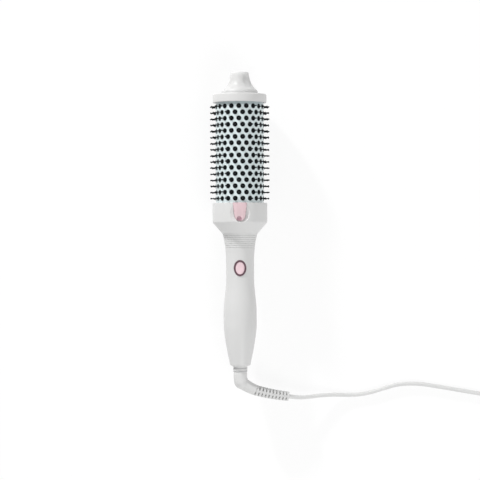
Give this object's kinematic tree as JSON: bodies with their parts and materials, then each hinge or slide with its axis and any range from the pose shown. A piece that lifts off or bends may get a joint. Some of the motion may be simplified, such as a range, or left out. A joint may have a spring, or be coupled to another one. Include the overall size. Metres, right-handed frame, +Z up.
{
  "type": "heated round brush",
  "caption": "Round styling brush with a heated perforated barrel, rows of pins, a cool tip, a waisted handle with a power button, a release tongue and a mains cord on a swivel.",
  "frame": {"origin": "middle of the brush's length on the surface that it lies on, under the brush axis", "axes": "+Y along the brush axis towards the cool tip, +Z up out of the surface on the side of the buttons, +X to the side that the cord leaves on"},
  "size_m": [0.3738, 0.3475, 0.0621],
  "materials": {
    "tip_white": "satin",
    "cap_white": "gloss",
    "handle_white": "satin",
    "ceramic_coat": "glossy ceramic coat",
    "plain_aluminium": "extruded",
    "ptc_ceramic": "sintered",
    "contact_brass": "bright",
    "film_amber": "film",
    "fuse_body": "moulded",
    "steel": "zinc plated",
    "seat_dark": "moulded",
    "board_green": "solder mask",
    "part_black": "moulded",
    "bezel_mauve": "gloss",
    "button_pink": "gloss",
    "tongue_pink": "gloss",
    "wire_red": "silicone sleeve",
    "wire_yellow": "silicone sleeve",
    "wire_blue": "silicone sleeve",
    "bristle_black": "moulded nylon",
    "cord_white": "soft vinyl",
    "tie_dark": "woven strap",
    "plug_white": "moulded",
    "blade_metal": "nickel plated"
  },
  "bodies": {
    "cord_side": {"swivel_rotor": "cord_white", "slip_rings": "contact_brass", "strain_relief": "cord_white", "cord_run": "cord_white", "cord_coil": "cord_white", "cord_tail": "cord_white", "cord_tie": "tie_dark", "plug_body": "plug_white", "plug_blades": "blade_metal"},
    "brush": {"cool_tip": "tip_white", "tip_screws": "steel", "end_cap": "cap_white", "barrel": "ceramic_coat", "bristle_strip_01": "bristle_black", "bristle_strip_02": "bristle_black", "bristle_strip_03": "bristle_black", "bristle_strip_04": "bristle_black", "bristle_strip_05": "bristle_black", "bristle_strip_06": "bristle_black", "bristle_strip_07": "bristle_black", "bristle_strip_08": "bristle_black", "bristle_strip_09": "bristle_black", "bristle_strip_10": "bristle_black", "inner_sleeve": "plain_aluminium", "heat_block_upper": "plain_aluminium", "heat_block_lower": "plain_aluminium", "ptc_stones": "ptc_ceramic", "electrode_plates": "contact_brass", "insulation_film": "film_amber", "thermal_fuse": "fuse_body", "heat_sensor": "fuse_body", "tie_rods": "steel", "tie_washers": "steel", "head_seat": "seat_dark", "collar": "cap_white", "handle_front": "handle_white", "handle_rear": "handle_white", "handle_screws": "steel", "circuit_board": "board_green", "board_screws": "steel", "board_parts": "part_black", "key_switch": "part_black", "button_bezel": "bezel_mauve", "heater_leads": "wire_red", "sensor_leads": "wire_yellow", "swivel_bush": "seat_dark", "contact_springs": "contact_brass", "supply_leads": "wire_blue", "release_spring": "steel", "power_spring": "steel"},
    "power_button": {"power_button": "button_pink"},
    "release_button": {"release_button": "tongue_pink"}
  },
  "joints": [
    {"name": "cord_swivel", "type": "hinge", "parent": "cord_side", "child": "brush", "pos_m": [0, -0.1512, 0.0308], "axis": [0, 1, 0], "continuous": true},
    {"name": "power_press", "type": "slide", "parent": "brush", "child": "power_button", "axis": [0, 0, -1], "range_m": [0, 0.0008], "stiffness_N_per_m": 1500, "springref_m": -0.001, "deforming": ["power_spring"]},
    {"name": "release_press", "type": "slide", "parent": "brush", "child": "release_button", "axis": [0, 0, -1], "range_m": [0, 0.001], "stiffness_N_per_m": 1200, "springref_m": -0.0015, "deforming": ["release_spring"]}
  ]
}
